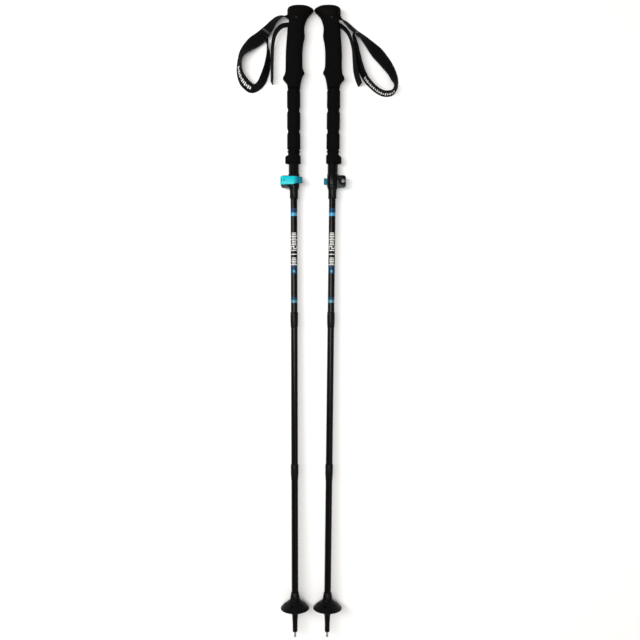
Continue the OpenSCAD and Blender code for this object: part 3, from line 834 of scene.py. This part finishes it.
def stitches(name, runs, radius=0.28):
    """Short rounded stitches, one for each (start, end, outward direction)."""
    points, faces = [], []
    for start, end, out in runs:
        run = end - start
        beside = run.cross(out).normalized()
        first = len(points)
        for f, size in STITCH_SHAPE:
            for k in range(STITCH_SIDES):
                turn = 2 * math.pi * k / STITCH_SIDES
                bulge = radius * size
                offset = beside * (bulge * math.cos(turn)) + out * (bulge * math.sin(turn))
                points.append(start + run * f + offset)
        for ring in range(len(STITCH_SHAPE) - 1):
            for k in range(STITCH_SIDES):
                a = first + ring * STITCH_SIDES + k
                b = first + ring * STITCH_SIDES + (k + 1) % STITCH_SIDES
                faces.append((a, b, b + STITCH_SIDES, a + STITCH_SIDES))
        last = first + (len(STITCH_SHAPE) - 1) * STITCH_SIDES
        faces += [tuple(range(first, first + STITCH_SIDES)), tuple(range(last, last + STITCH_SIDES))]
    return mesh_object(name, points, faces, 60)


def stitch(ribbon, start, end, face, lift):
    """One stitch on a strap's face between two places, each (distance along, place across)."""
    outward = ribbon.between(start[0])["through"] * face
    return ribbon.surface(*start, face, lift), ribbon.surface(*end, face, lift), outward


def stitch_across(ribbon, along, u, face, lift):
    """One stitch of a row that runs across a strap."""
    return stitch(ribbon, (along, u + CROSS_FROM), (along, u + CROSS_TO), face, lift)


def strap_ribbon(pole, entry, route, thick, pad_from=None):
    """A ribbon that starts inside the grip, at a height in its slot, and then follows a route."""
    inside = pole.at(SLOT_FLOOR - 2, 0, entry) / MM
    return Ribbon([(inside.x, inside.y, 0, WEB_WIDTH, 1), *route], thick, pad_from)


def bend_at_mouth(strap, pole, height):
    """Bakes a strap's placement into its mesh; points just inside and outside the slot's mouth at a height
    are worked out but not used.
    """
    start, end = (pole.at(SLOT_MOUTH - x, 0, height) for x in MOUTH_BEND)
    pole.own("grip")
    pole.own("strap")
    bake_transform(strap)
    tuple(start)
    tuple(end)


# The bars printed on the band: their spacing, their width along it and their half heights across it
BAR_PITCH = 4.4
BAR_WIDTH = 2.5
BAR_HEIGHTS = (0.34, 0.2, 0.34, 0.27)
# Rows of stitches across the seam, as distances past it, and across the tail's hem, as distances from its end
SEAM_ROWS = (0.6, 3.0)
HEM_ROWS = (5, 13)
ROW_STITCHES = 9


def wrist_band(pole):
    """The padded band, its stitches, its seam and the row of bars printed on its outer face."""
    side = pole.side
    # A ribbon's route has one point more than LOOPS, the one inside the slot
    seam, print_from, print_to = (t + 1 for t in (SEAM[side], *PRINT_SPAN[side]))
    ribbon = strap_ribbon(pole, BAND_ENTRY, LOOPS[side], BAND_THICK, seam)
    band = ribbon.mesh(pole.own("wrist_band"))
    finish_piece(band, None, BAND, "webbing", pole.own("wrist_strap"))
    bend_at_mouth(band, pole, BAND_MOUTH)
    outer = -1 if side == "left" else 1

    seam_at = ribbon.along_of(seam)
    edge_runs = []
    along = seam_at + 3
    while along < ribbon.length - 4:
        for u in (-CHANNEL_AT, CHANNEL_AT):
            for face in (-1, 1):
                edge_runs.append(stitch(ribbon, (along, u), (along + STITCH_LENGTH, u), face, 0.02))
        along += STITCH_PITCH
    seam_runs = []
    for row in SEAM_ROWS:
        for k in range(ROW_STITCHES):
            seam_runs.append(stitch_across(ribbon, seam_at + row, -0.76 + 0.19 * k, outer, 0.08))
    first, last = ribbon.along_of(print_from), ribbon.along_of(print_to)
    bars = []
    for k in range(int((last - first) / BAR_PITCH)):
        tall = BAR_HEIGHTS[k % len(BAR_HEIGHTS)]
        start = first + BAR_PITCH * k
        bars.append((start, start + BAR_WIDTH, -tall, tall))

    def on_outer(along, u, lift):
        return ribbon.surface(along, u, outer, lift)

    made = [
        (stitches(pole.own("band_stitches"), edge_runs), DARK_THREAD),
        (stitches(pole.own("seam_stitches"), seam_runs, 0.36), LIGHT_THREAD),
        (slabs(pole.own("band_bars"), bars, on_outer), WHITE_PRINT),
    ]
    for obj, material in made:
        obj.data.transform(Matrix.Scale(MM, 4))
        finish_piece(obj, pole.own("strap"), material, None)
    pole.own("hand_grip")
    ribbon.area()


def strap_tail(pole):
    """The loose end of the webbing, with its turned hem."""
    ribbon = strap_ribbon(pole, TAIL_ENTRY, TAILS[pole.side], TAIL_THICK)
    tail = ribbon.mesh(pole.own("webbing_tail"))
    finish_piece(tail, None, WEBBING, "webbing", pole.own("strap_tail"))
    bend_at_mouth(tail, pole, TAIL_MOUTH)
    runs = []
    for back in HEM_ROWS:
        for k in range(ROW_STITCHES):
            for face in (-1, 1):
                runs.append(stitch_across(ribbon, ribbon.length - back, -0.8 + 0.2 * k, face, 0.04))
    hem = stitches(pole.own("hem_stitches"), runs, 0.3)
    hem.data.transform(Matrix.Scale(MM, 4))
    finish_piece(hem, pole.own("strap"), DARK_THREAD, None)
    pole.own("hand_grip")
    ribbon.area()


# The storage strap: places round the neck in degrees, radii in mm
WRAP_FROM, WRAP_TO, WRAP_STEPS = -40.0, 615.0, 150
WRAP_THICK = 1.2
WRAP_R = 11.95
OUTER_TURN_AT, OUTER_TURN_SPREAD, OUTER_TURN_RISE = 345, 12, 1.25
LUMP_AT, LUMP_SPREAD, LUMP_RISE = 540, 30, 3.3
LOOSE_FROM, LOOSE_SPREAD, LOOSE_RISE = 590, 25, 0.35


def storage_strap(pole):
    """A hook-and-loop strap wound round the neck of the foam, its outer turn standing off at the back."""
    low, high = FOAM_BASE + 0.4, FOAM_BASE + 15.6
    rings = []
    for k in range(WRAP_STEPS + 1):
        turn = WRAP_FROM + (WRAP_TO - WRAP_FROM) * k / WRAP_STEPS
        second = 1 / (1 + math.exp(-(turn - OUTER_TURN_AT) / OUTER_TURN_SPREAD))
        stand_off = LUMP_RISE * math.exp(-((turn - LUMP_AT) / LUMP_SPREAD) ** 2)
        ease = LOOSE_RISE * max(0.0, (turn - LOOSE_FROM) / LOOSE_SPREAD)
        r = WRAP_R + OUTER_TURN_RISE * second + stand_off + ease
        c, q = math.cos(math.radians(turn)), math.sin(math.radians(turn))
        ring = []
        # The strap narrows a little where it stands off
        top = high - 0.8 * stand_off
        for out, s in ((-0.5, low + 0.4), (-0.3, low), (0.3, low), (0.5, low + 0.4),
                       (0.5, top - 0.4), (0.3, top), (-0.3, top), (-0.5, top - 0.4)):
            ring.append(((r + out * WRAP_THICK) * c, (r + out * WRAP_THICK) * q, s))
        rings.append(ring)
    wrap = skin(pole.own("storage_wrap"), rings, 40)
    place(wrap, pole)
    finish_piece(wrap, pole.own("grip"), HOOK_LOOP, "hook_loop", pole.own("storage_strap"))
    pole.own("foam_sleeve")


# ---- Printing on the upper shaft ----

# Numerals as seven-segment bars: (low across, high across, near along, far along), as shares of a digit
SEGMENTS = {"1": "bc", "5": "afgcd"}
BARS = {
    "a": (0.885, 1.0, 0.0, 1.0), "b": (0.5, 1.0, 0.73, 1.0), "c": (0.0, 0.5, 0.73, 1.0),
    "d": (0.0, 0.115, 0.0, 1.0), "f": (0.5, 1.0, 0.0, 0.27), "g": (0.44, 0.56, 0.0, 1.0),
}
# How far the bands reach into the tube and stand off it, the most that the other prints stand off,
# and what the dot adds to lie on its band, all in mm
BAND_SINK = 0.05
BAND_LIFT = 0.015
PRINT_LIFT = 0.022
DOT_LAYER = 0.012
# Places along the pole, in mm from its tip
DEEP_BANDS = ((667.5, 673.0), (719.0, 734.6), (840.6, 849.5))
BRIGHT_BANDS = ((834.0, 840.6),)
TEAL_BANDS = ((661.5, 667.5),)
DOT_AT = 723.8
DOT_BAR = 0.62
TICK_FROM, TICK_PITCH, TICK_WIDTH, TICK_COUNT = 736.4, 3.3, 1.6, 20
TICK_REACHES = (7.4, 4.4, 5.6, 5.0, 4.4)
# The generic numeral, the stretch without ticks round it, and its digits' height, width and gap
NUMERAL, NUMERAL_AT = "115", 763.5
NUMERAL_LOW, NUMERAL_HIGH = 751.5, 775.5
DIGIT_HEIGHT, DIGIT_WIDTH, DIGIT_GAP = 12.4, 5.8, 2.0


def digit_patches(text, middle):
    """Plain segment numerals that read along the shaft: (low s, high s, low across, high across)."""
    patches = []
    whole = len(text) * DIGIT_WIDTH + (len(text) - 1) * DIGIT_GAP
    for k, digit in enumerate(text):
        left = middle - whole / 2 + k * (DIGIT_WIDTH + DIGIT_GAP)
        for segment in SEGMENTS[digit]:
            low, high, near, far = BARS[segment]
            along = (left + near * DIGIT_WIDTH, left + far * DIGIT_WIDTH)
            patches.append((*along, (low - 0.5) * DIGIT_HEIGHT, (high - 0.5) * DIGIT_HEIGHT))
    return patches


def shaft_surface(face, layer=0.0):
    """Points on the upper shaft: s along, and across measured round the tube from its top or underside."""
    def point(s, across, lift):
        turn = -face * math.pi / 2 + across / SHAFT_R
        r = SHAFT_R + layer + min(lift, PRINT_LIFT)
        return Vector((r * math.cos(turn), r * math.sin(turn), s))
    return point


def printed_bands(name, spans):
    """Thin closed sleeves on the upper shaft, one for each (low s, high s)."""
    inner, r = SHAFT_R - BAND_SINK, SHAFT_R + BAND_LIFT
    sleeves = [revolve("sleeve", [(inner, a), (r, a), (r, b), (inner, b)], FINE_SEGMENTS) for a, b in spans]
    return joined(name, sleeves)


def shaft_print(pole):
    """The length scale, the dark band with its dot below the scale, and a two-tone ring at each end."""
    patches = []
    for k in range(TICK_COUNT):
        s = TICK_FROM + TICK_PITCH * k
        if s + TICK_WIDTH < NUMERAL_LOW or s > NUMERAL_HIGH:
            reach = TICK_REACHES[k % len(TICK_REACHES)]
            patches.append((s, s + TICK_WIDTH, -reach, reach))
    patches += digit_patches(NUMERAL, NUMERAL_AT)
    scales = [slabs(f"scale_{face}", patches, shaft_surface(face), 12) for face in (1, -1)]
    scale = joined(pole.own("length_scale"), scales)
    deep = printed_bands(pole.own("deep_bands"), DEEP_BANDS)
    bright = printed_bands(pole.own("bright_bands"), BRIGHT_BANDS)
    teal = printed_bands(pole.own("teal_bands"), TEAL_BANDS)
    # The dot is built of bars on both sides of its middle, narrower towards its ends
    rows = [(0.6 * k, 3.0 - 0.55 * k) for k in range(5)]
    dot_patches = [(DOT_AT + d * o, DOT_AT + d * o + DOT_BAR, -w, w) for o, w in rows for d in (1, -1)]
    dots = [slabs(f"dot_{face}", dot_patches, shaft_surface(face, DOT_LAYER), 8) for face in (1, -1)]
    dot = joined(pole.own("scale_dot"), dots)
    for obj, material in (
        (scale, WHITE_PRINT), (deep, RING_PRINT), (bright, CYAN_PRINT), (teal, TEAL_PRINT), (dot, CYAN_PRINT),
    ):
        place(obj, pole)
        finish_piece(obj, pole.own("upper_section"), material, None)


# ---- Cables that show when a joint is drawn apart ----

# Each bend's name, its joint, and the bodies above and below it
CABLE_BENDS = (
    ("upper_cable_bend", UPPER_JOINT, "upper_link", "mid_section"),
    ("lower_cable_bend", LOWER_JOINT, "lower_link", "lower_section"),
)
BEND_FROM, BEND_TO = -19, 21
BEND_REACH = 12
BEND_SIDES = 16


def cable_bends(pole):
    """A straight piece of cable across each fold joint."""
    r = CABLE_R + 0.08
    turns = [2 * math.pi * k / BEND_SIDES for k in range(BEND_SIDES)]
    for name, joint, above, below in CABLE_BENDS:
        stations = range(BEND_FROM, BEND_TO + 1)
        rings = [[(r * math.cos(turn), r * math.sin(turn), joint + s) for turn in turns] for s in stations]
        bend = place(skin(pole.own(name), rings), pole)
        finish_piece(bend, None, CABLE, "cable")
        start, end = pole.at(0, 0, joint + BEND_REACH), pole.at(0, 0, joint - BEND_REACH)
        pole.own(above)
        pole.own(below)
        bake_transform(bend)
        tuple(start)
        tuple(end)


# ---- Details on the clamp ----

# The hole's (radius, height above the lever's back), and how far it lies from the pin's axis. The hole is a
# proud disc whose near-black colour is painted shade
HOLE_PROFILE = [(0, 0.1), (1.0, 0.12), (1.25, 0.2), (1.45, 0.05), (1.45, -0.6), (0, -0.6)]
HOLE_OFFSET = 2.1


def lever_details(pole):
    """A near-black disc on the lever's back, painted shade that stands for a hole, beside the gap that shows
    the tension screw's barrel.
    """
    hole = revolve(pole.own("lever_hole"), HOLE_PROFILE, 32)
    spot = Matrix.Translation((LEVER_X + HOLE_OFFSET, LEVER_Y - BARREL_R, LEVER_MID))
    hole.data.transform(spot @ Matrix.Rotation(math.pi / 2, 4, "X"))
    place(hole, pole)
    finish_piece(hole, pole.own("lever"), HOLE, None)


# ---- Stage, in metres ----

FLOOR_HALF = 4
FLOOR_GAP = 0.0002
AXIS_HEIGHT = 22.4 * MM
CAMERA_X, CAMERA_Y = 0.0052, 0.0001
CAMERA_DISTANCE = 1.38
VIEW_WIDTH = 1.273
SENSOR_MM = 36
KEY_AT, KEY_SIZE, KEY_WATTS = (-0.72, 0.25, 2.1), (0.62, 2.4), 62
FILL_AT, FILL_SIZE, FILL_WATTS = (1.6, -0.6, 2.2), (1.6, 2.4), 10
WORLD_COLOR, WORLD_LIGHT = (1, 0.95, 0.92, 1), 0.42


def soft_light(name, spot, size, watts):
    """A rectangular light that looks at the middle of the scene."""
    data = bpy.data.lights.new(name, "AREA")
    data.shape = "RECTANGLE"
    data.size, data.size_y = size
    data.energy = watts
    light = bpy.data.objects.new(name, data)
    bpy.context.scene.collection.objects.link(light)
    light.location = spot
    light.rotation_euler = (-Vector(spot)).to_track_quat("-Z", "Y").to_euler()


def stage():
    """The surface, the camera straight above it, the two lights and the world."""
    corners = [(x * FLOOR_HALF, y * FLOOR_HALF, 0) for x, y in ((-1, -1), (1, -1), (1, 1), (-1, 1))]
    floor = mesh_object("floor", corners, [(0, 1, 2, 3)])
    floor.location.z = CAD_BOX[0].z - FLOOR_GAP
    paper = Material("pale_paper", (0.86, 0.855, 0.845), 0.85, specular=0.1)
    paper.color_between(paper.noise(3, 2), (0.855, 0.85, 0.84), (0.865, 0.86, 0.85))
    floor.data.materials.append(paper.material)

    data = bpy.data.cameras.new("camera")
    camera = bpy.data.objects.new("camera", data)
    bpy.context.scene.collection.objects.link(camera)
    camera.location = (CAMERA_X, CAMERA_Y, AXIS_HEIGHT + CAMERA_DISTANCE)
    data.sensor_width = SENSOR_MM
    data.lens = data.sensor_width * CAMERA_DISTANCE / VIEW_WIDTH
    data.clip_start, data.clip_end = 0.05, 20
    bpy.context.scene.camera = camera

    soft_light("key", KEY_AT, KEY_SIZE, KEY_WATTS)
    soft_light("fill", FILL_AT, FILL_SIZE, FILL_WATTS)
    world = bpy.data.worlds.new("studio")
    bpy.context.scene.world = world
    world.use_nodes = True
    background = world.node_tree.nodes["Background"]
    background.inputs["Color"].default_value = WORLD_COLOR
    background.inputs["Strength"].default_value = WORLD_LIGHT
    bpy.context.scene.view_settings.view_transform = "Standard"


# ---- Everything together ----

# CAD nodes that a copy with rounded edges stands for: node, material, slot, body, bevel in mm
REFINED = (
    ("clamp_housing", CLAMP, "clamp_plastic", "grip", 0.35),
    ("clamp_lever", LEVER, "lever_teal", "lever", 0.7),
    ("clamp_screw", SCREW_STEEL, "steel", "tension_screw", 0.25),
    ("tip_ferrule", TIP, "tip_plastic", "lower_section", 0.2),
    ("basket", BASKET, "basket_plastic", "lower_section", 0.25),
    ("mid_collar", COLLAR, "collar_black", "mid_section", 0.2),
    ("lower_collar", COLLAR, "collar_black", "lower_section", 0.2),
)
# CAD nodes that stay as they are, with a better material
REFINISHED = (
    ("strap_wedge", CLAMP), ("strap_pin", DARK_STEEL), ("grip_tube", SHAFT), ("clamp_pivot_pin", STEEL),
    ("tube_bushing", BUSHING), ("upper_tube", SHAFT), ("snap_button", STEEL), ("button_spring", STEEL),
    ("cable_anchor", STEEL), ("upper_cable", CABLE), ("upper_spigot", INNER), ("mid_tube", SHAFT),
    ("middle_cable", CABLE), ("lower_spigot", INNER), ("lower_tube", SHAFT), ("lower_cable", CABLE),
    ("carbide_tip", CARBIDE),
)


def build(pole):
    hand_grip(pole)
    top_cap(pole)
    grip_extension(pole)
    storage_strap(pole)
    wrist_band(pole)
    strap_tail(pole)
    shaft_print(pole)
    cable_bends(pole)
    lever_details(pole)
    for node, material, slot, body, bevel in REFINED:
        refined(pole, node, material, slot, body, bevel)
    for node, material in REFINISHED:
        cad_finish(pole, node, material)


stage()
for side in ("left", "right"):
    build(Pole(side))
